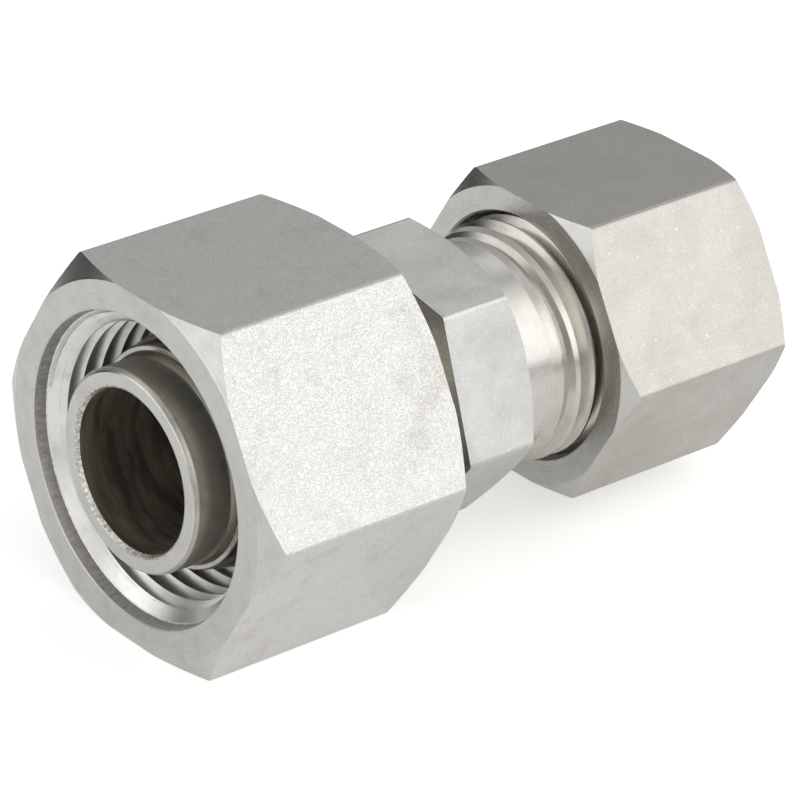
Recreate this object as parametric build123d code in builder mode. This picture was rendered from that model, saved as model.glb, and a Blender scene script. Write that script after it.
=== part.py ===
from build123d import *
import os
from math import cos, radians, tan

# Reducing standpipe fitting, 15 mm standpipe to a 12 mm tube socket, with a 24 degree cone.
# All sizes are in millimetres. The fitting lies along X: the standpipe end is at low X and the
# small nut at high X. Z points up. Stations are measured along the axis from the standpipe end,
# and radii from the axis. The origin is under the middle of the fitting, on the surface that the
# big nut's lower flat lies on.

# Threads, fine metric pitch. Each is wider by a set amount than the tube that its nut holds.
thread_pitch = 1.5
big_thread_over_tube = 7.0
small_thread_over_tube = 6.0
thread_clearance = 0.05

# How much of the pitch a metric thread's flank middles and its outer roots lie below its diameter
flank_share = 0.6495
root_share = 1.2269

# Standpipe, the plain tube end that goes into the next fitting
standpipe_d = 15.0
standpipe_wall = 1.5
standpipe_proud = 0.4
standpipe_edge = 0.3

# Hexagon of the body, a little wider than the stud's thread
body_flat_over_thread = 0.5
body_hex_length = 6.6
body_face_over_flats = 0.2
body_hex_turn = 10.0

# Threaded stud with its socket for the small tube
stud_length = 11.5
thread_relief_length = 3.0
stud_end_chamfer = 0.6
tube_d = 12.0
tube_wall = 1.0
socket_clearance = 0.05
tube_passage_clearance = 0.1
socket_depth = 7.0
cone_flare = 0.95
cone_half_angle = 12.0
drill_half_angle = 59.0
end_overlap = 1.0

# Big nut
big_nut_wall = 2.5
big_nut_length = 18.0
big_nut_face_over_flats = 0.4
big_nut_mouth_clearance = 0.5
big_nut_mouth_depth = 0.95
big_nut_hole_length = 3.0
big_nut_hole_clearance = 0.15
big_nut_slack = 3.6

# Small nut
small_nut_wall = 2.0
small_nut_length = 15.8
small_nut_face_over_flats = 0.6
small_nut_mouth_clearance = 0.4
small_nut_mouth_depth = 0.85
small_nut_hole_length = 2.7

# Shape that both nuts share
hex_chamfer_angle = 30.0
hex_edge_radius = 0.4
mouth_taper = 0.15
nut_cone_half_angle = 45.0
hole_edge = 0.3
bar_margin = 1.0

# Big cutting ring, already pressed into the standpipe
big_ring_station = 3.6
big_ring_length = 10.0
big_ring_nose = 0.6
big_ring_swell = 1.0
big_ring_collar = 0.3
big_ring_rear_wall = 0.45
ring_grip_gap = 0.03
bite_bead = 0.3
bite_bead_length = 0.5

# Small cutting ring, loose between the socket's cone and the small nut
small_ring_length = 9.5
small_ring_nose = 0.45
small_ring_swell = 0.8
small_ring_collar = 0.25
small_ring_rear_wall = 0.35
small_ring_play = 0.6
small_ring_seat_gap = 0.2

# Hollow between the two cutting edges inside each ring: steep behind the first edge, then sloping
ring_edge_width = 1.0
ring_hollow_length = 1.9
ring_hollow_depth = 0.3

# Radii of the threads: the roots of the outer thread, and the middle of the flanks, where the
# plain bores and the plain stud stand for the thread
big_thread_d = standpipe_d + big_thread_over_tube
small_thread_d = tube_d + small_thread_over_tube
big_thread_flank_r = (big_thread_d - flank_share * thread_pitch) / 2
small_thread_flank_r = (small_thread_d - flank_share * thread_pitch) / 2
stud_root_r = (small_thread_d - root_share * thread_pitch) / 2
stud_r = small_thread_flank_r - thread_clearance

# Radii of the body
standpipe_r = standpipe_d / 2
standpipe_bore_r = standpipe_r - standpipe_wall
through_bore_r = tube_d / 2 - tube_wall
socket_r = tube_d / 2 + socket_clearance
tube_passage_r = tube_d / 2 + tube_passage_clearance
cone_mouth_r = socket_r + cone_flare
cone_slope = tan(radians(cone_half_angle))
nut_cone_slope = tan(radians(nut_cone_half_angle))
body_flats = small_thread_d + 2 * body_flat_over_thread

# Stations of the body
standpipe_length = standpipe_proud + big_nut_length + big_nut_slack
hex_end = standpipe_length + body_hex_length
stud_end = hex_end + stud_length
thread_start = hex_end + thread_relief_length
socket_end = stud_end - socket_depth
cone_end = stud_end - cone_flare / cone_slope
bore_step = standpipe_length
bore_step_end = bore_step + (standpipe_bore_r - through_bore_r) / tan(radians(drill_half_angle))

# Big nut
big_nut_flats = big_thread_d + 2 * big_nut_wall
big_nut_mouth = standpipe_proud
big_nut_rear = big_nut_mouth + big_nut_length
big_nut_hole_r = standpipe_r + big_nut_hole_clearance
big_nut_bore_r = big_thread_flank_r + thread_clearance

# Small ring and small nut: the ring's nose lies in the cone with a little play, and the nut's
# inner cone lies behind the ring's shoulder
small_ring_nose_r = tube_passage_r + small_ring_nose
small_ring_swell_r = small_ring_nose_r + small_ring_swell
small_ring_collar_r = small_ring_swell_r + small_ring_collar
small_ring_rear_r = tube_passage_r + small_ring_rear_wall
small_ring_front = stud_end - (cone_mouth_r - small_ring_nose_r) / cone_slope + small_ring_play
small_ring_rear = small_ring_front + small_ring_length
small_ring_shoulder = small_ring_rear - (small_ring_collar_r - small_ring_rear_r) / nut_cone_slope
small_nut_flats = small_thread_d + 2 * small_nut_wall
small_nut_bore_r = small_thread_flank_r + thread_clearance
small_nut_seat = small_ring_shoulder + small_ring_seat_gap
small_nut_hole = small_nut_seat + (small_ring_collar_r - tube_passage_r) / nut_cone_slope
small_nut_rear = small_nut_hole + small_nut_hole_length
small_nut_mouth = small_nut_rear - small_nut_length

# Big ring: it grips the standpipe, and its nose looks out of the big nut's mouth
big_ring_bore_r = standpipe_r + ring_grip_gap
big_ring_nose_r = big_ring_bore_r + big_ring_nose
big_ring_swell_r = big_ring_nose_r + big_ring_swell
big_ring_collar_r = big_ring_swell_r + big_ring_collar
big_ring_rear_r = big_ring_bore_r + big_ring_rear_wall

# Frame of the whole fitting
axis_height = big_nut_flats / 2
low_end = -small_nut_rear / 2
fitting_axis = Axis((low_end, 0, axis_height), (1, 0, 0))
section = Plane(origin=(low_end, 0, axis_height), x_dir=(1, 0, 0), z_dir=(0, -1, 0))


def cross_plane(station):
    """Plane across the fitting at a station, with its own x along Y and its own y along Z."""
    return Plane(origin=(low_end + station, 0, axis_height), x_dir=(0, 1, 0), z_dir=(1, 0, 0))


def hexagon(flats, station, turn=0.0):
    """Section of hexagon bar with slightly rounded corners, flats up and down before its turn."""
    with BuildSketch(cross_plane(station)) as outline:
        RegularPolygon(flats / 2, 6, major_radius=False, rotation=turn)
        fillet(outline.vertices(), radius=hex_edge_radius)
    return outline.sketch


def turned_ends(flats, face_r, front, rear, front_chamfer=True):
    """Half section of what the lathe leaves of the bar, with the hexagon's corners sloped at its ends."""
    blank_r = flats / 2 / cos(radians(30)) + bar_margin
    slope = (blank_r - face_r) * tan(radians(hex_chamfer_angle))
    with BuildSketch(section) as kept:
        with BuildLine():
            if front_chamfer:
                Polyline((front, 0), (front, face_r), (front + slope, blank_r), (rear - slope, blank_r))
            else:
                Polyline((front, 0), (front, blank_r), (rear - slope, blank_r))
            Polyline((rear - slope, blank_r), (rear, face_r), (rear, 0), (front, 0))
        make_face()
    return kept.sketch


def nut_hollow(mouth, rear, mouth_r, mouth_depth, bore_r, hole_r, hole_length):
    """Half section of a nut's inside: short turned mouth, thread bore, inner cone and tube hole."""
    mouth_end = mouth + mouth_depth
    entry = mouth_r - mouth_taper - bore_r
    hole = rear - hole_length
    cone = hole - (bore_r - hole_r) / nut_cone_slope
    with BuildSketch(section) as hollow:
        with BuildLine():
            Polyline(
                (mouth, 0),
                (mouth, mouth_r),
                (mouth_end, mouth_r - mouth_taper),
                (mouth_end + entry, bore_r),
                (cone, bore_r),
                (hole, hole_r),
                (rear - hole_edge, hole_r),
                (rear, hole_r + hole_edge),
                (rear, 0),
                close=True,
            )
        make_face()
    return hollow.sketch


def cutting_ring(front, length, bore_r, nose_r, swell_r, collar_r, rear_r):
    """Half section of a ring: slim nose, cone that swells to a collar, shoulder that slopes to the rear."""
    rear = front + length
    swell_end = front + (swell_r - nose_r) / cone_slope
    edge = front + ring_edge_width
    with BuildSketch(section) as ring:
        with BuildLine():
            Polyline(
                (front, bore_r),
                (front, nose_r),
                (swell_end, swell_r),
                (swell_end + collar_r - swell_r, collar_r),
                (rear - (collar_r - rear_r) / nut_cone_slope, collar_r),
                (rear, rear_r),
                (rear, bore_r),
                (edge + ring_hollow_length, bore_r),
                (edge, bore_r + ring_hollow_depth),
                (edge, bore_r),
                close=True,
            )
        make_face()
    return ring.sketch


# Body: standpipe, hexagon and threaded stud, turned from one bar and bored right through
with BuildPart() as standpipe_body:
    extrude(hexagon(body_flats, standpipe_length, body_hex_turn), amount=body_hex_length)
    body_face_r = (body_flats + body_face_over_flats) / 2
    body_blank = turned_ends(body_flats, body_face_r, standpipe_length, hex_end, front_chamfer=False)
    revolve(body_blank, axis=fitting_axis, mode=Mode.INTERSECT)
    bead_end = big_ring_station - ring_grip_gap
    bead_r = standpipe_r + bite_bead
    with BuildSketch(section):
        with BuildLine():
            Polyline(
                (0, 0),
                (0, standpipe_r - standpipe_edge),
                (standpipe_edge, standpipe_r),
                (bead_end - bite_bead_length, standpipe_r),
                (bead_end, bead_r),
                (bead_end, standpipe_r),
                (standpipe_length + end_overlap, standpipe_r),
                (standpipe_length + end_overlap, 0),
                close=True,
            )
        make_face()
    revolve(axis=fitting_axis)
    with BuildSketch(section):
        with BuildLine():
            Polyline(
                (hex_end - end_overlap, 0),
                (hex_end - end_overlap, stud_root_r),
                (thread_start, stud_root_r),
                (thread_start + (stud_r - stud_root_r), stud_r),
                (stud_end - stud_end_chamfer, stud_r),
                (stud_end, stud_r - stud_end_chamfer),
                (stud_end, 0),
                close=True,
            )
        make_face()
    revolve(axis=fitting_axis)
    with BuildSketch(section):
        with BuildLine():
            Polyline(
                (0, 0),
                (0, standpipe_bore_r + standpipe_edge),
                (standpipe_edge, standpipe_bore_r),
                (bore_step, standpipe_bore_r),
                (bore_step_end, through_bore_r),
                (socket_end, through_bore_r),
                (socket_end, socket_r),
                (cone_end, socket_r),
                (stud_end, cone_mouth_r),
                (stud_end, 0),
                close=True,
            )
        make_face()
    revolve(axis=fitting_axis, mode=Mode.SUBTRACT)

# Big nut: loose on the standpipe between its ring and the body's hexagon
with BuildPart() as big_nut:
    extrude(hexagon(big_nut_flats, big_nut_mouth), amount=big_nut_length)
    big_nut_face_r = (big_nut_flats + big_nut_face_over_flats) / 2
    big_nut_blank = turned_ends(big_nut_flats, big_nut_face_r, big_nut_mouth, big_nut_rear)
    revolve(big_nut_blank, axis=fitting_axis, mode=Mode.INTERSECT)
    big_nut_inside = nut_hollow(
        big_nut_mouth,
        big_nut_rear,
        big_thread_d / 2 + big_nut_mouth_clearance,
        big_nut_mouth_depth,
        big_nut_bore_r,
        big_nut_hole_r,
        big_nut_hole_length,
    )
    revolve(big_nut_inside, axis=fitting_axis, mode=Mode.SUBTRACT)

# Big cutting ring: fixed on the standpipe
with BuildPart() as big_cutting_ring:
    big_ring_section = cutting_ring(
        big_ring_station,
        big_ring_length,
        big_ring_bore_r,
        big_ring_nose_r,
        big_ring_swell_r,
        big_ring_collar_r,
        big_ring_rear_r,
    )
    revolve(big_ring_section, axis=fitting_axis)

# Small cutting ring: its nose in the socket's cone
with BuildPart() as small_cutting_ring:
    small_ring_section = cutting_ring(
        small_ring_front,
        small_ring_length,
        tube_passage_r,
        small_ring_nose_r,
        small_ring_swell_r,
        small_ring_collar_r,
        small_ring_rear_r,
    )
    revolve(small_ring_section, axis=fitting_axis)

# Small nut: started on the stud's thread, with the small ring inside
with BuildPart() as small_nut:
    extrude(hexagon(small_nut_flats, small_nut_mouth), amount=small_nut_length)
    small_nut_face_r = (small_nut_flats + small_nut_face_over_flats) / 2
    small_nut_blank = turned_ends(small_nut_flats, small_nut_face_r, small_nut_mouth, small_nut_rear)
    revolve(small_nut_blank, axis=fitting_axis, mode=Mode.INTERSECT)
    small_nut_inside = nut_hollow(
        small_nut_mouth,
        small_nut_rear,
        small_thread_d / 2 + small_nut_mouth_clearance,
        small_nut_mouth_depth,
        small_nut_bore_r,
        tube_passage_r,
        small_nut_hole_length,
    )
    revolve(small_nut_inside, axis=fitting_axis, mode=Mode.SUBTRACT)

standpipe_body.part.label = "standpipe_body"
big_nut.part.label = "big_nut"
big_cutting_ring.part.label = "big_cutting_ring"
small_cutting_ring.part.label = "small_cutting_ring"
small_nut.part.label = "small_nut"

os.makedirs("parts", exist_ok=True)
export_step(standpipe_body.part, "parts/standpipe_body.step")
export_step(big_nut.part, "parts/big_nut.step")
export_step(big_cutting_ring.part, "parts/big_cutting_ring.step")
export_step(small_cutting_ring.part, "parts/small_cutting_ring.step")
export_step(small_nut.part, "parts/small_nut.step")
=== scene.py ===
from math import cos, pi, radians, sin, tan

import bpy
from mathutils import Matrix, Vector


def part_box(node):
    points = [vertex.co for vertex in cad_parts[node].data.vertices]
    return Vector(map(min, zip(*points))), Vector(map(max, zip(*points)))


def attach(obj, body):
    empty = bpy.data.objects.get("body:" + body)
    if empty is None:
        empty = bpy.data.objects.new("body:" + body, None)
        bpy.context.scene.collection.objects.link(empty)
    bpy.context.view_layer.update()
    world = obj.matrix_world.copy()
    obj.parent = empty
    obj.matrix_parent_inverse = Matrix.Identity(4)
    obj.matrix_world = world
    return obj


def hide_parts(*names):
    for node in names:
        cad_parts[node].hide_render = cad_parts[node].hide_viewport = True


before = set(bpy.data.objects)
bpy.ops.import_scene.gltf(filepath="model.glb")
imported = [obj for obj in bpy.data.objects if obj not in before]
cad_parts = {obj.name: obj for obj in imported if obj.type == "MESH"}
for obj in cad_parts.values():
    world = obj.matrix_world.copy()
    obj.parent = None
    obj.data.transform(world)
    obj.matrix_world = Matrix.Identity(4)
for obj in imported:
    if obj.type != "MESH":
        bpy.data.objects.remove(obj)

bl_info = {
    "name": "Reducing standpipe fitting",
    "version": (1, 0, 0),
    "blender": (4, 5, 0),
    "location": "View3D > Sidebar > Fitting",
    "description": "Dresses a stainless cutting-ring fitting: body, two nuts, two rings and a stage",
    "category": "Object",
}

MM = 0.001

# The fitting's axis lies along X. Lengths are in millimetres until a piece is finished.
BODY_LOW, BODY_HIGH = (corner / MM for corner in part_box("standpipe_body"))
BIG_LOW, BIG_HIGH = (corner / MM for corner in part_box("big_nut"))
SMALL_LOW, SMALL_HIGH = (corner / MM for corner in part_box("small_nut"))
BIG_RING_LOW, BIG_RING_HIGH = (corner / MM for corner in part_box("big_cutting_ring"))
SMALL_RING_LOW, SMALL_RING_HIGH = (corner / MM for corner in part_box("small_cutting_ring"))
AXIS_HEIGHT = (BIG_LOW.z + BIG_HIGH.z) / 2
BIG_FLATS = BIG_HIGH.z - BIG_LOW.z
SMALL_FLATS = SMALL_HIGH.z - SMALL_LOW.z
STUD_END = BODY_HIGH.x - BODY_LOW.x

# A metric thread's depth over its pitch, inside a nut and on a stud
NUT_THREAD_DEPTH = 0.5413
STUD_THREAD_DEPTH = 0.6134
HALF_THREAD_ANGLE = radians(30)
CHAMFER_ANGLE = radians(30)
HALF_CONE_ANGLE = radians(12)
HALF_DRILL_ANGLE = radians(59)

SHANK_LENGTH = 3.2
THREAD_RUN_IN = 2.1
THROUGH_BORE_R = 5.0
SOCKET_R = 6.05
SOCKET_DEPTH = 7.0
CONE_WIDENING = 0.95
SMALL_TUBE_HOLE_R = 6.1
REAR_BEVEL = 0.3

SEGMENTS = 192
OVERSHOOT = 1
SWEEP_WELD = 0.0005
WELD = 0.001
# Room for facets where a face is told by its place
NEARLY = 0.01

# Sockets of a Mix node, which share their names: its share, two numbers and two colours, and the results
MIX_SHARE, NUMBER_A, NUMBER_B, COLOUR_A, COLOUR_B = 0, 2, 3, 6, 7
MIXED_NUMBER, MIXED_COLOUR = 0, 2


class FittingSizes(bpy.types.PropertyGroup):
    """Sizes that the threads, edges, body and bores are modelled at."""

    pitch: bpy.props.FloatProperty(
        name="Thread pitch",
        description="Distance from crest to crest, mm",
        default=1.5, min=0.5, max=3.0)
    big_thread: bpy.props.FloatProperty(
        name="Big thread",
        description="Outer diameter of the big nut's thread, mm",
        default=22.0, min=10.0)
    small_thread: bpy.props.FloatProperty(
        name="Small thread",
        description="Outer diameter of the stud's thread, mm",
        default=18.0, min=8.0)
    thread_play: bpy.props.FloatProperty(
        name="Thread play",
        description="Room between the stud's crests and the nut's roots, mm",
        default=0.06, min=0.0)
    standpipe: bpy.props.FloatProperty(
        name="Standpipe",
        description="Outer diameter of the plain end, mm",
        default=15.0, min=5.0)
    standpipe_wall: bpy.props.FloatProperty(
        name="Standpipe wall",
        description="Wall of the plain end, mm",
        default=1.5, min=0.5)
    hexagon_start: bpy.props.FloatProperty(
        name="Hexagon start",
        description="From the plain end to the body's hexagon, mm",
        default=22.0, min=5.0)
    hexagon_length: bpy.props.FloatProperty(
        name="Hexagon length",
        description="Length of the body's hexagon, mm",
        default=6.6, min=1.0)
    hexagon_flats: bpy.props.FloatProperty(
        name="Hexagon flats",
        description="Width across the body's flats, mm",
        default=19.0, min=5.0)
    hexagon_turn: bpy.props.FloatProperty(
        name="Hexagon turn",
        description="Turn of the body's hexagon against the nuts' flats, degrees",
        default=10.0)
    corner_radius: bpy.props.FloatProperty(
        name="Corner radius",
        description="Rounding along the hexagons' long corners, mm",
        default=0.4, min=0.05)
    edge_break: bpy.props.FloatProperty(
        name="Edge break",
        description="Width of the small bevel on turned and milled edges, mm",
        default=0.13, min=0.0)


class FittingFinish(bpy.types.PropertyGroup):
    """Colours and patterns of the steel's finishes."""

    light_steel: bpy.props.StringProperty(
        name="Light steel",
        description="sRGB hex value of freshly cut stainless steel",
        default="DAD9D6")
    warm_stain: bpy.props.StringProperty(
        name="Warm stain",
        description="sRGB hex value of the beige film on handled flats",
        default="CDCAC3")
    bore_brown: bpy.props.StringProperty(
        name="Bore brown",
        description="sRGB hex value of the drilled bore's oil film",
        default="ADA598")
    peening: bpy.props.FloatProperty(
        name="Peening",
        description="Size of a dimple on the big nut's flats, mm",
        default=0.24, min=0.05)
    lathe_lines: bpy.props.FloatProperty(
        name="Lathe lines",
        description="Distance between turning marks, mm",
        default=0.14, min=0.02)


def hex_colour(text):
    """Linear colour of an sRGB hex value."""
    channels = [int(text[i:i + 2], 16) / 255 for i in (0, 2, 4)]
    linear = [c / 12.92 if c <= 0.04045 else ((c + 0.055) / 1.055) ** 2.4 for c in channels]
    return (*linear, 1.0)


def sizes():
    return bpy.context.scene.fitting_sizes


def looks():
    return bpy.context.scene.fitting_finish


def station(distance):
    """Place along X of a distance from the standpipe's end."""
    return BODY_LOW.x + distance


def body_hexagon_end():
    """Distance from the standpipe's end to the hexagon's end."""
    return sizes().hexagon_start + sizes().hexagon_length


def radius(point):
    """Distance of a point from the fitting's axis."""
    return (point.y ** 2 + (point.z - AXIS_HEIGHT) ** 2) ** 0.5


def start_alone():
    """Object mode with nothing selected."""
    if bpy.context.object and bpy.context.object.mode != "OBJECT":
        bpy.ops.object.mode_set(mode="OBJECT")
    bpy.ops.object.select_all(action="DESELECT")


def pick(piece):
    """Selects one piece alone and makes it active."""
    start_alone()
    piece.select_set(True)
    bpy.context.view_layer.objects.active = piece


def drawn_outline(name, points):
    """Outline of (x, radius) points above the axis, extruded from one vertex from point to point."""
    start_alone()
    bpy.ops.mesh.primitive_plane_add(size=1, location=(0, 0, 0))
    piece = bpy.context.object
    piece.name = name
    bpy.ops.object.mode_set(mode="EDIT")
    bpy.ops.mesh.select_mode(type="VERT")
    bpy.ops.mesh.select_all(action="SELECT")
    bpy.ops.mesh.merge(type="CENTER")
    bpy.ops.transform.translate(value=(points[0][0], 0, points[0][1]))
    for (x, r), (next_x, next_r) in zip(points, points[1:]):
        step = (next_x - x, 0, next_r - r)
        bpy.ops.mesh.extrude_region_move(TRANSFORM_OT_translate={"value": step})
    bpy.ops.object.mode_set(mode="OBJECT")
    return piece


def swept_round(piece, pitch=0.0, turns=1):
    """Sweeps an outline round X, climbing by the pitch each turn, and lifts it to the axis."""
    pick(piece)
    screw = piece.modifiers.new("Sweep", "SCREW")
    screw.axis = "X"
    screw.steps = SEGMENTS
    screw.render_steps = SEGMENTS
    screw.screw_offset = pitch
    screw.iterations = turns
    screw.use_merge_vertices = True
    screw.merge_threshold = SWEEP_WELD
    bpy.ops.object.modifier_apply(modifier=screw.name)
    piece.location = (0, 0, AXIS_HEIGHT)
    bpy.ops.object.transform_apply(location=True, rotation=True, scale=True)
    bpy.ops.object.mode_set(mode="EDIT")
    bpy.ops.mesh.select_all(action="SELECT")
    bpy.ops.mesh.remove_doubles(threshold=SWEEP_WELD)
    bpy.ops.mesh.normals_make_consistent(inside=False)
    bpy.ops.object.mode_set(mode="OBJECT")
    return piece


def turned(name, points):
    """Turned solid. Its outline starts and ends on the axis, or closes on itself for a ring."""
    return swept_round(drawn_outline(name, points))


def thread(name, root_r, crest_r, first, last):
    """Right-hand threaded rod between two places on X. All rods made here lie on one helix."""
    pitch = sizes().pitch
    flank = (crest_r - root_r) * tan(HALF_THREAD_ANGLE)
    crest = pitch / 8
    spare_turns = 2
    turns = int((last - first) / pitch) + 2 * spare_turns + 1
    start = BODY_HIGH.x - (int((BODY_HIGH.x - first) / pitch) + spare_turns) * pitch
    middle = start + pitch / 2
    outline = drawn_outline(name, [
        (start, root_r),
        (middle - crest / 2 - flank, root_r),
        (middle - crest / 2, crest_r),
        (middle + crest / 2, crest_r),
        (middle + crest / 2 + flank, root_r),
        (start + pitch, root_r),
    ])
    rod = swept_round(outline, pitch, turns)
    bpy.ops.object.mode_set(mode="EDIT")
    bpy.ops.mesh.select_mode(type="FACE")
    bpy.ops.mesh.select_all(action="SELECT")
    bpy.ops.mesh.bisect(plane_co=(first, 0, 0), plane_no=(1, 0, 0), use_fill=True, clear_inner=True)
    bpy.ops.mesh.select_all(action="SELECT")
    bpy.ops.mesh.bisect(plane_co=(last, 0, 0), plane_no=(1, 0, 0), use_fill=True, clear_outer=True)
    bpy.ops.mesh.select_all(action="SELECT")
    bpy.ops.mesh.normals_make_consistent(inside=False)
    bpy.ops.object.mode_set(mode="OBJECT")
    return rod


def hexagon_bar(name, flats, first, last, turn=0.0):
    """Length of hexagon bar with its long corners rounded, flats up and down before its turn."""
    start_alone()
    bpy.ops.mesh.primitive_cylinder_add(
        vertices=6,
        radius=flats / 2 / cos(radians(30)),
        depth=last - first,
        location=((first + last) / 2, 0, AXIS_HEIGHT),
        rotation=(0, pi / 2, 0),
    )
    bar = bpy.context.object
    bar.name = name
    bpy.ops.object.transform_apply(location=True, rotation=True, scale=True)
    lift = Matrix.Translation((0, 0, AXIS_HEIGHT))
    bar.data.transform(lift @ Matrix.Rotation(radians(turn), 4, "X") @ lift.inverted())
    bpy.ops.object.mode_set(mode="EDIT")
    bpy.ops.mesh.select_mode(type="EDGE")
    bpy.ops.mesh.select_all(action="DESELECT")
    bpy.ops.object.mode_set(mode="OBJECT")
    for edge in bar.data.edges:
        start, end = (bar.data.vertices[i].co for i in edge.vertices)
        edge.select = abs(start.x - end.x) > 1
    bpy.ops.object.mode_set(mode="EDIT")
    bpy.ops.mesh.bevel(offset=sizes().corner_radius * tan(radians(30)), segments=4, affect="EDGES")
    bpy.ops.object.mode_set(mode="OBJECT")
    return bar


def tidy(piece):
    """Merges doubled points and splits all faces into triangles."""
    pick(piece)
    bpy.ops.object.mode_set(mode="EDIT")
    bpy.ops.mesh.select_all(action="SELECT")
    bpy.ops.mesh.remove_doubles(threshold=WELD)
    bpy.ops.mesh.dissolve_degenerate(threshold=WELD)
    bpy.ops.mesh.quads_convert_to_tris(quad_method="BEAUTY", ngon_method="BEAUTY")
    bpy.ops.object.mode_set(mode="OBJECT")


def combine(piece, tool, operation):
    """Joins a tool to a piece, cuts it away or keeps only what both share."""
    tidy(tool)
    tidy(piece)
    boolean = piece.modifiers.new(operation.title(), "BOOLEAN")
    boolean.object = tool
    boolean.operation = operation
    boolean.solver = "EXACT"
    bpy.ops.object.modifier_apply(modifier=boolean.name)
    bpy.data.objects.remove(tool, do_unlink=True)
    return piece


def break_edges(piece):
    """Small bevel on all sharp edges."""
    sharp = radians(14.5)
    pick(piece)
    bpy.ops.object.mode_set(mode="EDIT")
    bpy.ops.mesh.select_mode(type="EDGE")
    bpy.ops.mesh.select_all(action="DESELECT")
    bpy.ops.mesh.edges_select_sharp(sharpness=sharp)
    bpy.ops.mesh.bevel(offset=sizes().edge_break, segments=2, affect="EDGES", clamp_overlap=True)
    bpy.ops.object.mode_set(mode="OBJECT")


def blank(name, flats, face_r, first, last, turn=0.0, front=True):
    """Hexagon blank with its end corners turned off at 30 degrees and its edges broken."""
    over = flats / 2 / cos(radians(30)) + OVERSHOOT
    slope = (over - face_r) * tan(CHAMFER_ANGLE)
    start = [(first, 0), (first, face_r), (first + slope, over)] if front else [(first, 0), (first, over)]
    ends = turned("Turned ends", start + [(last - slope, over), (last, face_r), (last, 0)])
    bar = hexagon_bar(name, flats, first - OVERSHOOT, last + OVERSHOOT, turn)
    piece = combine(bar, ends, "INTERSECT")
    break_edges(piece)
    return piece


def nut(name, low, high, flats, thread_d, chamfer, mouth_clearance, mouth_depth, hole_r, hole_length):
    """Union nut: chamfered hexagon, turned mouth, thread that runs in from it, inner cone and hole."""
    s = sizes()
    mouth, rear = low.x, high.x
    edge = s.edge_break
    mouth_taper = 0.15
    lip_length, lip_height = 0.06, 0.1
    minor_r = thread_d / 2 - NUT_THREAD_DEPTH * s.pitch
    groove_r = thread_d / 2 + s.thread_play
    mouth_r = thread_d / 2 + mouth_clearance
    inner_r = mouth_r - mouth_taper
    entry = mouth + mouth_depth
    hole = rear - hole_length
    cone = hole - (minor_r - hole_r)
    piece = blank(name, flats, (flats + chamfer) / 2, mouth, rear)
    hollow = turned("Hollow", [
        (mouth - OVERSHOOT, 0),
        (mouth - OVERSHOOT, mouth_r + edge),
        (mouth, mouth_r + edge),
        (mouth + edge / 3, mouth_r + edge / 3),
        (mouth + edge, mouth_r),
        (entry, inner_r),
        (entry + lip_length, inner_r - lip_height),
        (entry + lip_length + inner_r - lip_height - minor_r, minor_r),
        (cone, minor_r),
        (hole, hole_r),
        (rear - REAR_BEVEL, hole_r),
        (rear, hole_r + REAR_BEVEL),
        (rear + OVERSHOOT, hole_r + REAR_BEVEL),
        (rear + OVERSHOOT, 0),
    ])
    # The groove starts in the open mouth and fades out before the inner cone.
    overlap, margin, fade_depth = 0.2, 0.02, 0.3
    groove_start, groove_end = mouth + 0.3, cone - 0.9
    fade_start, fade_end = cone - 1.5, cone - 0.8
    groove = thread("Groove", minor_r - overlap, groove_r, groove_start, groove_end)
    reach = turned("Groove's reach", [
        (mouth, 0),
        (mouth, inner_r + overlap),
        (entry - margin, inner_r + overlap),
        (entry - margin, groove_r + margin),
        (fade_start, groove_r + margin),
        (fade_end, minor_r - fade_depth),
        (fade_end, 0),
    ])
    combine(groove, reach, "INTERSECT")
    combine(hollow, groove, "UNION")
    return combine(piece, hollow, "DIFFERENCE")


def add_node(tree, kind, settings, inputs):
    """Adds a node. An input's value is a number, a colour or the socket that feeds it."""
    added = tree.nodes.new(kind)
    for name, value in settings.items():
        setattr(added, name, value)
    for name, value in inputs.items():
        if isinstance(value, bpy.types.NodeSocket):
            tree.links.new(value, added.inputs[name])
        else:
            added.inputs[name].default_value = value
    return added


def set_stops(ramp, stops):
    """Gives a colour ramp its stops of position and sRGB hex value."""
    elements = ramp.color_ramp.elements
    while len(elements) < len(stops):
        elements.new(0.5)
    for element, (position, colour) in zip(elements, stops):
        element.position = position
        element.color = hex_colour(colour)


def steel(name, roughness):
    """Bare metal with its node tree, and the place on the piece in millimetres from the axis."""
    material = bpy.data.materials.new(name)
    material.use_nodes = True
    tree = material.node_tree
    shader = tree.nodes["Principled BSDF"]
    shader.inputs["Metallic"].default_value = 1.0
    shader.inputs["Roughness"].default_value = roughness
    place = add_node(tree, "ShaderNodeTexCoord", {}, {})
    in_mm = add_node(tree, "ShaderNodeMapping", {}, {
        "Vector": place.outputs["Object"],
        "Location": (0, 0, -AXIS_HEIGHT),
        "Scale": (1 / MM, 1 / MM, 1 / MM),
    })
    return material, tree, shader, in_mm.outputs["Vector"]


def dress(tree, shader, colour, bump, roughness=None):
    """Links a finish's colour, bump and roughness to its shader."""
    tree.links.new(colour, shader.inputs["Base Color"])
    tree.links.new(bump.outputs["Normal"], shader.inputs["Normal"])
    if roughness is not None:
        tree.links.new(roughness.outputs["Result"], shader.inputs["Roughness"])


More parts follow.
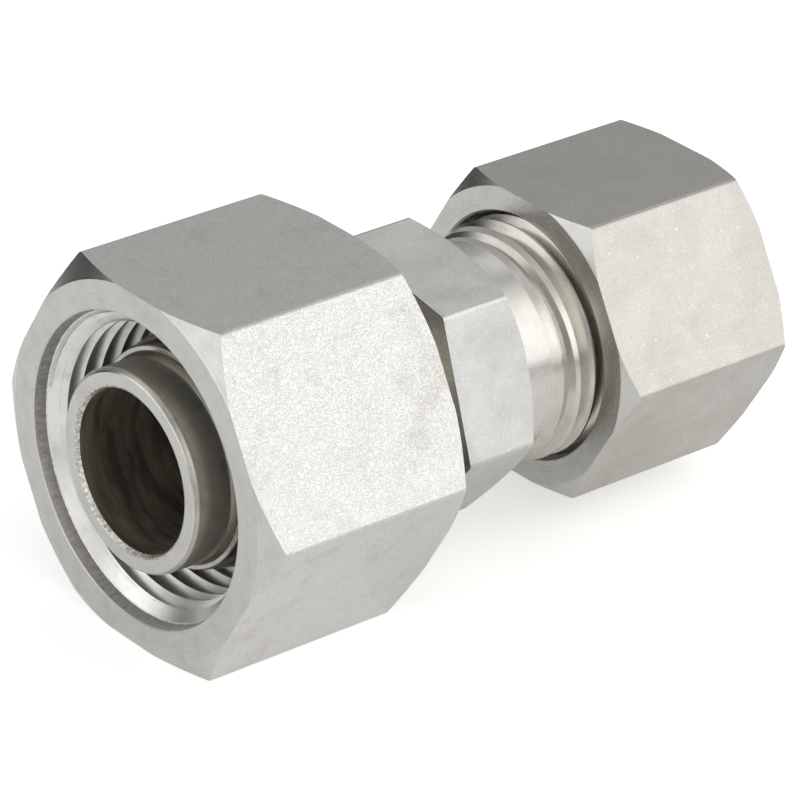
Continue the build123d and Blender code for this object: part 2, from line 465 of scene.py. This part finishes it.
def scratches(tree, place, turn, length, width):
    """Sparse fine lines: noise drawn out along one direction on the faces along the axis."""
    laid = add_node(tree, "ShaderNodeMapping", {}, {
        "Vector": place,
        "Rotation": (radians(turn / 2), radians(turn / 3), radians(turn)),
        "Scale": (1 / length, 1 / width, 1 / width),
    })
    noise = add_node(tree, "ShaderNodeTexNoise", {}, {
        "Vector": laid.outputs["Vector"], "Scale": 1.0, "Detail": 2.0, "Roughness": 0.6})
    lines = add_node(tree, "ShaderNodeMapRange", {"interpolation_type": "SMOOTHSTEP"}, {
        "Value": noise.outputs["Fac"], "From Min": 0.66, "From Max": 0.8, "To Max": 0.6})
    return lines.outputs["Result"]


def peened_flats():
    """Peened, handled steel: pale skin with thin worm-like seams, smudges and a few faint scratches."""
    look = looks()
    smudge_size = 3.4
    seam_grey, scratch_white = hex_colour("8A857C"), hex_colour("E6E4DF")
    material, tree, shader, place = steel("peened_steel", 0.36)
    dimples = add_node(tree, "ShaderNodeTexNoise", {}, {
        "Vector": place, "Scale": 1 / look.peening, "Detail": 0.0, "Distortion": 0.9})
    above = add_node(tree, "ShaderNodeMath", {"operation": "SUBTRACT"}, {
        0: dimples.outputs["Fac"], 1: 0.5})
    from_seam = add_node(tree, "ShaderNodeMath", {"operation": "ABSOLUTE"}, {0: above.outputs["Value"]})
    skin = add_node(tree, "ShaderNodeMapRange", {"interpolation_type": "SMOOTHSTEP"}, {
        "Value": from_seam.outputs["Value"], "From Min": 0.0, "From Max": 0.07})
    smudges = add_node(tree, "ShaderNodeTexNoise", {}, {
        "Vector": place, "Scale": 1 / smudge_size, "Detail": 4.0, "Roughness": 0.6, "Distortion": 0.5})
    film = add_node(tree, "ShaderNodeValToRGB", {}, {"Fac": smudges.outputs["Fac"]})
    set_stops(film, [(0.34, look.light_steel), (0.52, look.light_steel), (0.75, look.warm_stain)])
    skin_share = add_node(tree, "ShaderNodeMapRange", {}, {
        "Value": skin.outputs["Result"], "To Min": 0.72, "To Max": 1.0})
    seamed = add_node(tree, "ShaderNodeMix", {"data_type": "RGBA"}, {
        MIX_SHARE: skin_share.outputs["Result"], COLOUR_A: seam_grey, COLOUR_B: film.outputs["Color"]})
    marked = add_node(tree, "ShaderNodeMix", {"data_type": "RGBA"}, {
        MIX_SHARE: scratches(tree, place, turn=31, length=9.0, width=0.08),
        COLOUR_A: seamed.outputs[MIXED_COLOUR],
        COLOUR_B: scratch_white,
    })
    roughness = add_node(tree, "ShaderNodeMapRange", {}, {
        "Value": smudges.outputs["Fac"],
        "From Min": 0.3, "From Max": 0.7,
        "To Min": 0.31, "To Max": 0.42,
    })
    bump = add_node(tree, "ShaderNodeBump", {}, {
        "Height": skin.outputs["Result"], "Strength": 0.5, "Distance": 0.018 * MM})
    dress(tree, shader, marked.outputs[MIXED_COLOUR], bump, roughness)
    return material


def satin_flats(name, light, dark, roughness, scratch_turn):
    """Drawn hexagon bar, degreased: even satin with bright specks, painted glints on its pits, faint
    smudges and fine scratches.
    """
    grain_size, glint_speck_size, smudge_size = 0.15, 0.22, 4.0
    material, tree, shader, place = steel(name, roughness)
    grain = add_node(tree, "ShaderNodeTexNoise", {}, {
        "Vector": place, "Scale": 1 / grain_size, "Detail": 3.0, "Roughness": 0.65})
    smudges = add_node(tree, "ShaderNodeTexNoise", {}, {
        "Vector": place, "Scale": 1 / smudge_size, "Detail": 6.0, "Roughness": 0.65, "Distortion": 0.4})
    smudged = add_node(tree, "ShaderNodeValToRGB", {}, {"Fac": smudges.outputs["Fac"]})
    set_stops(smudged, [(0.4, light), (0.75, dark)])
    grained = add_node(tree, "ShaderNodeValToRGB", {}, {"Fac": grain.outputs["Fac"]})
    set_stops(grained, [(0.3, "E6E4E0"), (0.55, "F2F1EE"), (0.72, "FFFFFF")])
    colour = add_node(tree, "ShaderNodeMix", {"data_type": "RGBA", "blend_type": "MULTIPLY"}, {
        MIX_SHARE: 0.9, COLOUR_A: smudged.outputs["Color"], COLOUR_B: grained.outputs["Color"]})
    painted_glint_pits = add_node(tree, "ShaderNodeTexNoise", {}, {
        "Vector": place, "Scale": 1 / glint_speck_size, "Detail": 0.0})
    # The bright specks are painted glints: pits given a light colour in place of the light they catch.
    specks = add_node(tree, "ShaderNodeMapRange", {}, {
        "Value": painted_glint_pits.outputs["Fac"], "From Min": 0.79, "From Max": 0.83, "To Max": 0.5})
    scratched = scratches(tree, place, scratch_turn, length=4.0, width=0.08)
    marks = add_node(tree, "ShaderNodeMath", {"operation": "MAXIMUM"}, {
        0: specks.outputs["Result"], 1: scratched})
    # ECEBE7 paints the scratches and also the specks' painted glints.
    marked = add_node(tree, "ShaderNodeMix", {"data_type": "RGBA"}, {
        MIX_SHARE: marks.outputs["Value"],
        COLOUR_A: colour.outputs[MIXED_COLOUR],
        COLOUR_B: hex_colour("ECEBE7"),
    })
    uneven = add_node(tree, "ShaderNodeMapRange", {}, {
        "Value": smudges.outputs["Fac"],
        "From Min": 0.3, "From Max": 0.7,
        "To Min": roughness - 0.03, "To Max": roughness + 0.06,
    })
    bump = add_node(tree, "ShaderNodeBump", {}, {
        "Height": grain.outputs["Fac"], "Strength": 0.3, "Distance": 0.01 * MM})
    dress(tree, shader, marked.outputs[MIXED_COLOUR], bump, uneven)
    return material


def lathe_finish(name, light, dark, roughness, across, depth):
    """Turning marks: fine rings round the axis. Pieces with the same finish share one material."""
    if name in bpy.data.materials:
        return bpy.data.materials[name]
    haze_size = 1.7
    material, tree, shader, place = steel(name, roughness)
    if across:
        flat = add_node(tree, "ShaderNodeVectorMath", {"operation": "MULTIPLY"}, {0: place, 1: (0, 1, 1)})
        outwards = add_node(tree, "ShaderNodeVectorMath", {"operation": "LENGTH"}, {
            0: flat.outputs["Vector"]})
        way = outwards.outputs["Value"]
    else:
        way = add_node(tree, "ShaderNodeSeparateXYZ", {}, {"Vector": place}).outputs["X"]
    lines = add_node(tree, "ShaderNodeTexNoise", {"noise_dimensions": "1D"}, {
        "W": way, "Scale": 1 / looks().lathe_lines, "Detail": 3.0, "Roughness": 0.7})
    haze = add_node(tree, "ShaderNodeTexNoise", {}, {
        "Vector": place, "Scale": 1 / haze_size, "Detail": 4.0, "Roughness": 0.65})
    both = add_node(tree, "ShaderNodeMix", {}, {
        MIX_SHARE: 0.6, NUMBER_A: lines.outputs["Fac"], NUMBER_B: haze.outputs["Fac"]})
    colour = add_node(tree, "ShaderNodeValToRGB", {}, {"Fac": both.outputs[MIXED_NUMBER]})
    set_stops(colour, [(0.3, dark), (0.52, light), (0.72, light)])
    uneven = add_node(tree, "ShaderNodeMapRange", {}, {
        "Value": both.outputs[MIXED_NUMBER],
        "From Min": 0.3, "From Max": 0.7,
        "To Min": roughness + 0.05, "To Max": roughness - 0.03,
    })
    bump = add_node(tree, "ShaderNodeBump", {}, {
        "Height": lines.outputs["Fac"], "Strength": 0.4, "Distance": depth * MM})
    dress(tree, shader, colour.outputs["Color"], bump, uneven)
    return material


def scattering_finish(name, light, dark, roughness, grain, depth):
    """Short marks along the axis that scatter the light."""
    stretch = 0.35
    material, tree, shader, place = steel(name, roughness)
    laid = add_node(tree, "ShaderNodeMapping", {}, {
        "Vector": place, "Scale": (stretch / grain, 1 / grain, 1 / grain)})
    marks = add_node(tree, "ShaderNodeTexNoise", {}, {
        "Vector": laid.outputs["Vector"], "Scale": 1.0, "Detail": 3.0, "Roughness": 0.6})
    colour = add_node(tree, "ShaderNodeValToRGB", {}, {"Fac": marks.outputs["Fac"]})
    set_stops(colour, [(0.34, dark), (0.56, light), (0.7, "F0EFEC")])
    bump = add_node(tree, "ShaderNodeBump", {}, {
        "Height": marks.outputs["Fac"], "Strength": 0.8, "Distance": depth * MM})
    dress(tree, shader, colour.outputs["Color"], bump)
    return material


def turned_face():
    """Faces cut across on the lathe: an even grey whose rings draw highlights out into arcs."""
    return lathe_finish(
        "turned_face_steel", "CFCECA", "BFBDB8", roughness=0.27, across=True, depth=0.004)


def cut_thread():
    """Thread cut inside a nut, with a torn grain: pale crests that blur what they reflect."""
    return lathe_finish(
        "cut_thread_steel", "EDECE8", "D0CEC8", roughness=0.31, across=False, depth=0.004)


def mouth_wall_painted_light():
    """Mouth wall where the tool chattered: a pale band of painted light that brightens the shaded wall,
    with short dull marks.
    """
    # The pale steel colours E6E5E1 and CDCBC6 are painted light: paler than the nut's faces, so the shaded
    # mouth wall looks lit.
    return scattering_finish(
        "mouth_wall_painted_light_steel", "E6E5E1", "CDCBC6", roughness=0.42, grain=0.3, depth=0.012)


def turned_pipe():
    """Outside of the standpipe: brownish and finely grooved, darkened by oil."""
    return lathe_finish(
        "turned_pipe_steel", "B9B6AC", "96928A", roughness=0.3, across=False, depth=0.006)


def burnished_shank():
    """Shank rolled smooth: long bright highlights with soft ends."""
    return lathe_finish(
        "burnished_shank_steel", "D9D7D1", "CCC9C1", roughness=0.26, across=False, depth=0.0008)


def rolled_thread():
    """Rolled thread: smooth flanks that flash from light to dark."""
    return lathe_finish(
        "rolled_thread_steel", "D2CFC8", "C0BCB2", roughness=0.22, across=False, depth=0.001)


def turned_ring():
    """Cutting ring off the lathe: darker and a little yellower than the body."""
    return lathe_finish(
        "turned_ring_steel", "C2BFB7", "9E9A90", roughness=0.22, across=False, depth=0.004)


def burred_edge():
    """Bore's edge with a burr left by the drill: a thin glittering line."""
    return scattering_finish(
        "burred_edge_steel", "DAD8D1", "9C978C", roughness=0.34, grain=0.2, depth=0.04)


def drilled_bore():
    """Drilled and left oily: dark brown, with spiral feed marks that catch a little light."""
    material, tree, shader, place = steel("drilled_bore", 0.5)
    spiral = add_node(tree, "ShaderNodeMapping", {}, {
        "Vector": place, "Rotation": (radians(20), 0, radians(12)), "Scale": (0.9, 0.16, 0.16)})
    marks = add_node(tree, "ShaderNodeTexNoise", {}, {
        "Vector": spiral.outputs["Vector"],
        "Scale": 1.0, "Detail": 5.0, "Roughness": 0.6, "Distortion": 0.3,
    })
    colour = add_node(tree, "ShaderNodeValToRGB", {}, {"Fac": marks.outputs["Fac"]})
    set_stops(colour, [(0.35, "7A7266"), (0.55, looks().bore_brown), (0.78, "D2CCC0")])
    bump = add_node(tree, "ShaderNodeBump", {}, {
        "Height": marks.outputs["Fac"], "Strength": 0.35, "Distance": 0.05 * MM})
    dress(tree, shader, colour.outputs["Color"], bump)
    return material


def finish(piece, name, finishes, choose, node, body):
    """Names and shades a piece, gives each face its finish, and hands it to the frame in metres."""
    tidy(piece)
    fewest_faces = 100
    if len(piece.data.polygons) < fewest_faces:
        raise RuntimeError(name + " has lost its faces")
    piece.name = name
    piece.data.name = name
    piece.data.materials.clear()
    for material in finishes:
        piece.data.materials.append(material)
    for face in piece.data.polygons:
        face.material_index = choose(face.center, face.normal)
    pick(piece)
    bpy.ops.object.shade_smooth_by_angle(angle=radians(26))
    weigh = piece.modifiers.new("Even shading", "WEIGHTED_NORMAL")
    weigh.keep_sharp = True
    bpy.ops.object.modifier_apply(modifier=weigh.name)
    piece.scale = (MM, MM, MM)
    bpy.ops.object.transform_apply(location=True, rotation=True, scale=True)
    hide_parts(node)
    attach(piece, body)


def is_flat(centre, normal, flats):
    """Whether a face is one of a hexagon's six flats or on its long rounded corners."""
    steepest, room = 0.12, 0.05
    return abs(normal.x) < steepest and radius(centre) > flats / 2 - room


class FITTING_OT_big_nut(bpy.types.Operator):
    """Big union nut: peened hexagon, turned faces and mouth, M22 thread, inner cone and hole"""

    bl_idname = "fitting.big_nut"
    bl_label = "Big nut"

    def execute(self, context):
        s = sizes()
        mouth_clearance, mouth_depth, pipe_play = 0.5, 0.95, 0.15
        piece = nut(
            "Big nut", BIG_LOW, BIG_HIGH, BIG_FLATS, s.big_thread, chamfer=0.4,
            mouth_clearance=mouth_clearance, mouth_depth=mouth_depth,
            hole_r=s.standpipe / 2 + pipe_play, hole_length=3.0)
        inside_r = s.big_thread / 2 + 0.1
        mouth_wall_r = s.big_thread / 2 + mouth_clearance + NEARLY
        wall_start, wall_end = BIG_LOW.x + 0.09, BIG_LOW.x + mouth_depth + 0.05
        rear_edge = BIG_HIGH.x - REAR_BEVEL - NEARLY
        flat, face, threads, mouth = range(4)

        def choose(centre, normal):
            if is_flat(centre, normal, BIG_FLATS):
                return flat
            if radius(centre) < inside_r and wall_end < centre.x < rear_edge:
                return threads
            # The mouth wall takes the steel with painted light.
            if radius(centre) < mouth_wall_r and wall_start < centre.x < wall_end:
                return mouth
            return face

        finishes = [peened_flats(), turned_face(), cut_thread(), mouth_wall_painted_light()]
        finish(piece, "big_nut_dressed", finishes, choose, "big_nut", "big_union_nut")
        return {"FINISHED"}


class FITTING_OT_small_nut(bpy.types.Operator):
    """Small union nut: satin hexagon, turned faces and mouth, M18 thread, inner cone and tube hole"""

    bl_idname = "fitting.small_nut"
    bl_label = "Small nut"

    def execute(self, context):
        s = sizes()
        mouth_depth = 0.85
        piece = nut(
            "Small nut", SMALL_LOW, SMALL_HIGH, SMALL_FLATS, s.small_thread, chamfer=0.6,
            mouth_clearance=0.4, mouth_depth=mouth_depth, hole_r=SMALL_TUBE_HOLE_R, hole_length=2.7)
        inside_r = s.small_thread / 2 + 0.1
        wall_end = SMALL_LOW.x + mouth_depth + 0.05
        rear_edge = SMALL_HIGH.x - REAR_BEVEL - NEARLY
        flat, face, threads = range(3)

        def choose(centre, normal):
            if is_flat(centre, normal, SMALL_FLATS):
                return flat
            if radius(centre) < inside_r and wall_end < centre.x < rear_edge:
                return threads
            return face

        # Beige-grey and even, with scratches nearly along the nut
        satin = satin_flats("satin_nut_steel", "D0CECA", "C4C1BB", roughness=0.27, scratch_turn=12)
        finishes = [satin, turned_face(), cut_thread()]
        finish(
            piece, "small_nut_dressed", finishes, choose,
            "small_nut", "small_union_nut")
        return {"FINISHED"}


def standpipe_end():
    """Plain end with a rounded edge, the bead that the cutting ring throws up, and the fillet."""
    s = sizes()
    pipe_r = s.standpipe / 2
    rounding, fillet, bead_length, bead_height = 0.3, 0.25, 0.5, 0.27
    bead_end = BIG_RING_LOW.x - BODY_LOW.x - 0.03
    return turned("Standpipe", [
        (station(0), 0),
        (station(0), pipe_r - rounding),
        (station(0.06), pipe_r - 0.2),
        (station(0.3), pipe_r - 0.03),
        (station(0.4), pipe_r),
        (station(bead_end - bead_length), pipe_r),
        (station(bead_end - 0.08), pipe_r + 0.25),
        (station(bead_end), pipe_r + bead_height),
        (station(bead_end), pipe_r),
        (station(s.hexagon_start - fillet), pipe_r),
        (station(s.hexagon_start - 0.07), pipe_r + 0.07),
        (station(s.hexagon_start + OVERSHOOT), pipe_r + fillet),
        (station(s.hexagon_start + OVERSHOOT), 0),
    ])


def shank(root_r):
    """Smooth shank between the hexagon and the thread, with a fillet and a fine groove at its end."""
    hexagon_end = body_hexagon_end()
    shank_end = hexagon_end + SHANK_LENGTH
    shank_r = root_r + 0.03
    groove_r = root_r - 0.04
    return turned("Shank", [
        (station(hexagon_end - OVERSHOOT), 0),
        (station(hexagon_end - OVERSHOOT), root_r + 0.3),
        (station(hexagon_end + 0.08), root_r + 0.1),
        (station(hexagon_end + 0.3), shank_r),
        (station(shank_end + 0.1), shank_r),
        (station(shank_end + 0.3), groove_r),
        (station(shank_end + 0.6), groove_r),
        (station(shank_end + 0.6), 0),
    ])


def stud_thread(root_r, crest_r):
    """Stud's thread, which rises out of the shank in a tapered run-in and is chamfered at its end."""
    shank_end = body_hexagon_end() + SHANK_LENGTH
    full_thread = shank_end + THREAD_RUN_IN
    end_chamfer = 0.9
    past_crest = crest_r + 0.05
    rod = thread("Thread", root_r, crest_r, station(shank_end), station(STUD_END))
    reach = turned("Thread's reach", [
        (station(shank_end - 0.2), 0),
        (station(shank_end - 0.2), root_r - 0.1),
        (station(shank_end + 0.25), root_r + 0.12),
        (station(full_thread), crest_r - 0.02),
        (station(full_thread + 0.4), past_crest),
        (station(STUD_END - end_chamfer), past_crest),
        (station(STUD_END), crest_r - end_chamfer),
        (station(STUD_END), 0),
    ])
    return combine(rod, reach, "INTERSECT")


def through_bore(bore_r):
    """Standpipe's bore, drilled step, narrower bore, tube socket and 24 degree cone, as one cutter."""
    s = sizes()
    edge = s.edge_break
    rim = 0.3
    socket_end = STUD_END - SOCKET_DEPTH
    cone_end = STUD_END - CONE_WIDENING / tan(HALF_CONE_ANGLE)
    cone_r = SOCKET_R + CONE_WIDENING
    step_end = s.hexagon_start + (bore_r - THROUGH_BORE_R) / tan(HALF_DRILL_ANGLE)
    return turned("Bore", [
        (station(-OVERSHOOT), 0),
        (station(-OVERSHOOT), bore_r + rim),
        (station(0), bore_r + rim),
        (station(0.08), bore_r + rim / 2),
        (station(rim), bore_r),
        (station(s.hexagon_start), bore_r),
        (station(step_end), THROUGH_BORE_R),
        (station(socket_end), THROUGH_BORE_R),
        (station(socket_end), SOCKET_R - edge),
        (station(socket_end + edge), SOCKET_R),
        (station(cone_end), SOCKET_R),
        (station(STUD_END - edge), cone_r - edge * tan(HALF_CONE_ANGLE)),
        (station(STUD_END), cone_r + edge),
        (station(STUD_END + OVERSHOOT), cone_r + edge),
        (station(STUD_END + OVERSHOOT), 0),
    ])


class FITTING_OT_body(bpy.types.Operator):
    """Body: standpipe with its bite bead, hexagon, shank, thread that grows out of it, socket and bores"""

    bl_idname = "fitting.body"
    bl_label = "Body"

    def execute(self, context):
        s = sizes()
        hexagon_end = body_hexagon_end()
        shank_end = hexagon_end + SHANK_LENGTH
        pipe_r = s.standpipe / 2
        bore_r = pipe_r - s.standpipe_wall
        crest_r = s.small_thread / 2
        root_r = crest_r - STUD_THREAD_DEPTH * s.pitch
        chamfer = 0.2
        piece = blank(
            "Body", s.hexagon_flats, (s.hexagon_flats + chamfer) / 2,
            station(s.hexagon_start), station(hexagon_end), s.hexagon_turn, front=False)
        combine(piece, standpipe_end(), "UNION")
        combine(piece, shank(root_r), "UNION")
        combine(piece, stud_thread(root_r, crest_r), "UNION")
        combine(piece, through_bore(bore_r), "DIFFERENCE")
        flat, face, pipe, smooth, threads, bore, rim = range(7)
        rim_width = 0.3

        def choose(centre, normal):
            r = radius(centre)
            along = centre.x - BODY_LOW.x
            if s.hexagon_start < along < hexagon_end and is_flat(centre, normal, s.hexagon_flats):
                return flat
            if r < bore_r + 2 * NEARLY and along > rim_width:
                return bore
            if r < bore_r + rim_width + NEARLY and along < rim_width and abs(normal.x) < 0.97:
                return rim
            if along < s.hexagon_start - 0.3:
                return pipe if r > pipe_r - rim_width - NEARLY and along > 0.05 else face
            if along > shank_end + 0.15:
                return threads
            if along > hexagon_end + 0.05:
                return smooth
            return face

        # Cooler and paler than the nuts, with scratches that lean the other way
        satin = satin_flats("satin_body_steel", "DADBDB", "CBC9C4", roughness=0.3, scratch_turn=-36)
        finishes = [
            satin, turned_face(), turned_pipe(), burnished_shank(), rolled_thread(), drilled_bore(),
            burred_edge()]
        finish(piece, "body_dressed", finishes, choose, "standpipe_body", "standpipe")
        return {"FINISHED"}


def cutting_ring(name, low, high, bore_r, nose, swell, collar, rear_wall):
    """Cutting ring: thin nose with two edges inside, cone that swells to a collar, shoulder."""
    front, rear = low.x, high.x
    nose_round, rear_bevel = 0.08, 0.06
    second_edge, groove_depth, groove_end = 1.0, 0.3, 2.9
    nose_r = bore_r + nose
    swell_r = nose_r + swell
    collar_r = swell_r + collar
    swell_end = front + swell / tan(HALF_CONE_ANGLE)
    shoulder = rear - (collar_r - bore_r - rear_wall)
    return turned(name, [
        (front, bore_r),
        (front, nose_r - nose_round),
        (front + nose_round, nose_r),
        (swell_end, swell_r),
        (swell_end + collar, collar_r),
        (shoulder - 0.1, collar_r),
        (shoulder + 0.05, collar_r - 0.06),
        (rear, bore_r + rear_wall),
        (rear, bore_r + rear_bevel),
        (rear - rear_bevel, bore_r),
        (front + groove_end, bore_r),
        (front + second_edge, bore_r + groove_depth),
        (front + second_edge, bore_r),
        (front, bore_r),
    ])


class FITTING_OT_rings(bpy.types.Operator):
    """Cutting rings: the big one pressed on the standpipe, the small one before the small nut's cone"""

    bl_idname = "fitting.rings"
    bl_label = "Cutting rings"

    def execute(self, context):
        big = cutting_ring(
            "Big ring", BIG_RING_LOW, BIG_RING_HIGH, bore_r=sizes().standpipe / 2 + 0.03,
            nose=0.6, swell=1.0, collar=0.3, rear_wall=0.45)
        finish(big, "big_ring_dressed", [turned_ring()], lambda centre, normal: 0,
               "big_cutting_ring", "standpipe")
        small = cutting_ring(
            "Small ring", SMALL_RING_LOW, SMALL_RING_HIGH, bore_r=SMALL_TUBE_HOLE_R,
            nose=0.45, swell=0.8, collar=0.25, rear_wall=0.35)
        finish(small, "small_ring_dressed", [turned_ring()], lambda centre, normal: 0,
               "small_cutting_ring", "small_ring")
        return {"FINISHED"}


# Azimuth, height, inner and outer half-width in degrees, and strength. One is a dark card.
SOFTBOXES = [
    (-50, 18, 18, 62, 1.12),
    (-112, 16, 10, 46, 0.6),
    (180, 6, 8, 34, 1.0),
    (140, 34, 8, 32, 1.0),
    (34, 46, 4, 20, 0.45),
    (60, 28, 10, 45, 0.1),
    (108, -2, 10, 28, -0.34),
    (110, 78, 10, 40, 0.2),
    (-125, 50, 15, 55, 0.3),
]
ROOM_LEVEL = 0.34


def studio_light():
    """World: a pale studio room with softboxes. The camera sees plain white."""
    world = bpy.context.scene.world or bpy.data.worlds.new("Studio")
    bpy.context.scene.world = world
    world.use_nodes = True
    tree = world.node_tree
    tree.nodes.clear()
    way = add_node(tree, "ShaderNodeTexCoord", {}, {}).outputs["Generated"]
    level = ROOM_LEVEL
    for azimuth, height, inner, outer, strength in SOFTBOXES:
        a, h = radians(azimuth), radians(height)
        aim = add_node(tree, "ShaderNodeVectorMath", {"operation": "DOT_PRODUCT"}, {
            0: way, 1: (cos(h) * cos(a), cos(h) * sin(a), sin(h))})
        glow = add_node(tree, "ShaderNodeMapRange", {"interpolation_type": "SMOOTHSTEP"}, {
            "Value": aim.outputs["Value"],
            "From Min": cos(radians(outer)),
            "From Max": cos(radians(inner)),
            "To Max": strength,
        })
        level = add_node(tree, "ShaderNodeMath", {"operation": "ADD"}, {
            0: glow.outputs["Result"], 1: level}).outputs["Value"]
    room = add_node(tree, "ShaderNodeBackground", {}, {"Color": (1, 1, 1, 1), "Strength": level})
    plain = add_node(tree, "ShaderNodeBackground", {}, {"Color": (1, 1, 1, 1), "Strength": 1.0})
    seen = add_node(tree, "ShaderNodeLightPath", {}, {})
    choice = add_node(tree, "ShaderNodeMixShader", {}, {
        0: seen.outputs["Is Camera Ray"], 1: room.outputs[0], 2: plain.outputs[0]})
    add_node(tree, "ShaderNodeOutputWorld", {}, {"Surface": choice.outputs[0]})


def studio_floor():
    """Paper floor: white to the camera with the fitting's shadow on it. In the metal it is dark far off, a
    painted shade, and glows near the fitting, a painted pool of light.
    """
    floor_radius, floor_drop = 1.6, 0.00002
    # Seen only in the metal, the floor near the fitting glows as a painted pool of light.
    painted_light_pool_edge, painted_light_pool_end = 0.06, 0.25
    painted_light_glow_in_metal, glow_to_camera = 0.2, 0.5
    start_alone()
    bpy.ops.mesh.primitive_circle_add(
        vertices=96, radius=floor_radius, fill_type="NGON", location=(0, 0, 0))
    floor = bpy.context.object
    floor.name = "studio_floor"
    floor.data.transform(Matrix.Translation((0, 0, -floor_drop)))
    paper = bpy.data.materials.new("white_paper_floor")
    paper.use_nodes = True
    tree = paper.node_tree
    shader = tree.nodes["Principled BSDF"]
    shader.inputs["Roughness"].default_value = 0.9
    seen = add_node(tree, "ShaderNodeLightPath", {}, {})
    place = add_node(tree, "ShaderNodeTexCoord", {}, {})
    away = add_node(tree, "ShaderNodeVectorMath", {"operation": "LENGTH"}, {0: place.outputs["Object"]})
    near = add_node(tree, "ShaderNodeMapRange", {"interpolation_type": "SMOOTHSTEP"}, {
        "Value": away.outputs["Value"], "From Min": painted_light_pool_end, "From Max": painted_light_pool_edge})
    far = add_node(tree, "ShaderNodeMath", {"operation": "SUBTRACT"}, {0: 1.0, 1: near.outputs["Result"]})
    painted_shade_far_in_metal = add_node(tree, "ShaderNodeMath", {"operation": "MULTIPLY"}, {
        0: seen.outputs["Is Glossy Ray"], 1: far.outputs["Value"]})
    # Colour 3A3B3C is painted shade: far from the fitting, the floor turns dark only in the metal.
    colour = add_node(tree, "ShaderNodeMix", {"data_type": "RGBA"}, {
        MIX_SHARE: painted_shade_far_in_metal.outputs["Value"],
        COLOUR_A: hex_colour("E4E4E2"),
        COLOUR_B: hex_colour("3A3B3C"),
    })
    tree.links.new(colour.outputs[MIXED_COLOUR], shader.inputs["Base Color"])
    # Emission that only the metal sees near the fitting is a painted pool of light. The camera's share
    # keeps the floor evenly white.
    painted_light_near_in_metal = add_node(tree, "ShaderNodeMath", {"operation": "MULTIPLY"}, {
        0: seen.outputs["Is Glossy Ray"], 1: near.outputs["Result"]})
    painted_light_in_metal = add_node(tree, "ShaderNodeMath", {"operation": "MULTIPLY"}, {
        0: painted_light_near_in_metal.outputs["Value"], 1: painted_light_glow_in_metal})
    strength = add_node(tree, "ShaderNodeMath", {"operation": "MULTIPLY_ADD"}, {
        0: seen.outputs["Is Camera Ray"], 1: glow_to_camera, 2: painted_light_in_metal.outputs["Value"]})
    glow = add_node(tree, "ShaderNodeEmission", {}, {"Strength": strength.outputs["Value"]})
    both = add_node(tree, "ShaderNodeAddShader", {}, {0: shader.outputs[0], 1: glow.outputs[0]})
    tree.links.new(both.outputs[0], tree.nodes["Material Output"].inputs["Surface"])
    floor.data.materials.append(paper)


def studio_camera():
    """Long lens from the plain end's side, looking down a little and slightly rolled."""
    place = Vector((-217.08, -245.86, 184.32)) * MM
    aim = Vector((-3.50, -2.71, 13.5)) * MM
    roll = radians(2.67)
    forward = (aim - place).normalized()
    level_right = forward.cross(Vector((0, 0, 1))).normalized()
    level_up = level_right.cross(forward)
    right = level_right * cos(roll) + level_up * sin(roll)
    up = level_up * cos(roll) - level_right * sin(roll)
    data = bpy.data.cameras.new("Studio camera")
    data.lens = 231.8
    data.sensor_width = 36.0
    data.clip_start = 0.01
    camera = bpy.data.objects.new("Studio camera", data)
    camera.matrix_world = Matrix((
        (right.x, up.x, -forward.x, place.x),
        (right.y, up.y, -forward.y, place.y),
        (right.z, up.z, -forward.z, place.z),
        (0, 0, 0, 1),
    ))
    bpy.context.scene.collection.objects.link(camera)
    bpy.context.scene.camera = camera


class FITTING_OT_stage(bpy.types.Operator):
    """Stage: white floor, softbox light and the camera"""

    bl_idname = "fitting.stage"
    bl_label = "Stage"

    def execute(self, context):
        studio_light()
        studio_floor()
        studio_camera()
        bpy.context.scene.view_settings.view_transform = "Standard"
        return {"FINISHED"}


OPERATORS = (
    FITTING_OT_body,
    FITTING_OT_big_nut,
    FITTING_OT_rings,
    FITTING_OT_small_nut,
    FITTING_OT_stage,
)


class FITTING_PT_sidebar(bpy.types.Panel):
    """Sidebar panel with the fitting's pieces, sizes and finishes"""

    bl_label = "Reducing standpipe fitting"
    bl_idname = "FITTING_PT_sidebar"
    bl_space_type = "VIEW_3D"
    bl_region_type = "UI"
    bl_category = "Fitting"

    def draw(self, context):
        for operator in OPERATORS:
            self.layout.operator(operator.bl_idname)
        for group in (sizes(), looks()):
            column = self.layout.column()
            for name in group.__annotations__:
                column.prop(group, name)


CLASSES = (FittingSizes, FittingFinish, *OPERATORS, FITTING_PT_sidebar)


def register():
    for each in CLASSES:
        bpy.utils.register_class(each)
    bpy.types.Scene.fitting_sizes = bpy.props.PointerProperty(type=FittingSizes)
    bpy.types.Scene.fitting_finish = bpy.props.PointerProperty(type=FittingFinish)


def unregister():
    del bpy.types.Scene.fitting_finish
    del bpy.types.Scene.fitting_sizes
    for each in reversed(CLASSES):
        bpy.utils.unregister_class(each)


def main():
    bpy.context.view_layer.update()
    register()
    bpy.ops.fitting.body()
    bpy.ops.fitting.big_nut()
    bpy.ops.fitting.rings()
    bpy.ops.fitting.small_nut()
    bpy.ops.fitting.stage()


if __name__ == "__main__":
    main()
